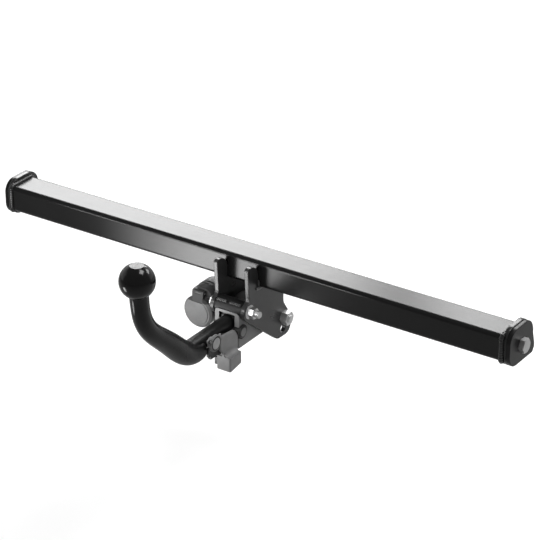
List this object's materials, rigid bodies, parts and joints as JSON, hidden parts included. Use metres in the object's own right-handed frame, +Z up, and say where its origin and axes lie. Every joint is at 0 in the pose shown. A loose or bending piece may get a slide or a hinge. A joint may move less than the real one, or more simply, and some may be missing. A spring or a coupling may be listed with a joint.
{
  "type": "towbar",
  "caption": "Vehicle towbar: a crossbar between two bolted end plates, with a detachable swan neck ball, a side release lever with a key lock, and a lidded trailer socket.",
  "frame": {"origin": "middle of the crossbar: the centre of the tube's section, halfway between the end plates", "axes": "+X along the crossbar to the vehicle's side with the release lever, +Y towards the vehicle, -Y towards the trailer, +Z up"},
  "size_m": [0.8756, 0.3477, 0.231],
  "materials": {
    "black_paint": "semi-gloss powder coat",
    "gloss_black_paint": "gloss black paint",
    "grey_paint": "satin grey paint",
    "zinc": "bright zinc plate",
    "pin_steel": "satin steel",
    "dark_plastic": "moulded, fine grain",
    "grey_plastic": "moulded, fine grain",
    "black_rubber": "matt",
    "contact_brass": "satin"
  },
  "bodies": {
    "vehicle_frame": {"crossbar_tube": "black_paint", "end_flange_left": "black_paint", "end_flange_right": "black_paint", "end_plate_left": "black_paint", "end_plate_right": "black_paint", "end_bolts": "zinc", "end_nuts": "zinc", "side_plate_left": "black_paint", "side_plate_right": "black_paint", "receiver_body": "grey_paint", "rear_spacer": "zinc", "front_bolt": "zinc", "front_flange_nut": "zinc", "rear_bolt": "zinc", "rear_nut": "zinc", "rear_washer": "zinc", "socket_bracket": "black_paint", "socket_gasket": "black_rubber", "socket_housing": "dark_plastic", "contact_insert": "dark_plastic", "contact_pins": "contact_brass", "lid_hinge_pin": "zinc", "socket_screws": "zinc", "socket_nuts": "zinc", "cable_gland": "dark_plastic"},
    "ball_bar": {"swan_neck": "gloss_black_paint", "cross_pin": "pin_steel", "latch_housing": "dark_plastic"},
    "lever": {"release_lever": "grey_paint", "lever_shaft": "pin_steel", "cover_screw": "zinc"},
    "barrel": {"lock_barrel": "contact_brass"},
    "cover": {"lock_cover": "grey_plastic"},
    "lid": {"socket_lid": "grey_plastic", "lid_seal": "black_rubber"}
  },
  "joints": [
    {"name": "ball_bar_removal", "type": "slide", "parent": "vehicle_frame", "child": "ball_bar", "axis": [0, -1, 0], "range_m": [0, 0.14]},
    {"name": "lever_turn", "type": "hinge", "parent": "ball_bar", "child": "lever", "pos_m": [0.016, -0.118, -0.07], "axis": [-1, 0, 0], "range_deg": [0, 60]},
    {"name": "key_turn", "type": "hinge", "parent": "lever", "child": "barrel", "pos_m": [0.018, -0.118, -0.07], "axis": [1, 0, 0], "range_deg": [0, 90]},
    {"name": "cover_swing", "type": "hinge", "parent": "lever", "child": "cover", "pos_m": [0.021, -0.1325, -0.0615], "axis": [1, 0, 0], "range_deg": [0, 110]},
    {"name": "lid_open", "type": "hinge", "parent": "vehicle_frame", "child": "lid", "pos_m": [-0.06, -0.043, -0.046], "axis": [-1, 0, 0], "range_deg": [0, 110], "stiffness_Nm_per_rad": 0.03, "springref_deg": -34.38}
  ]
}
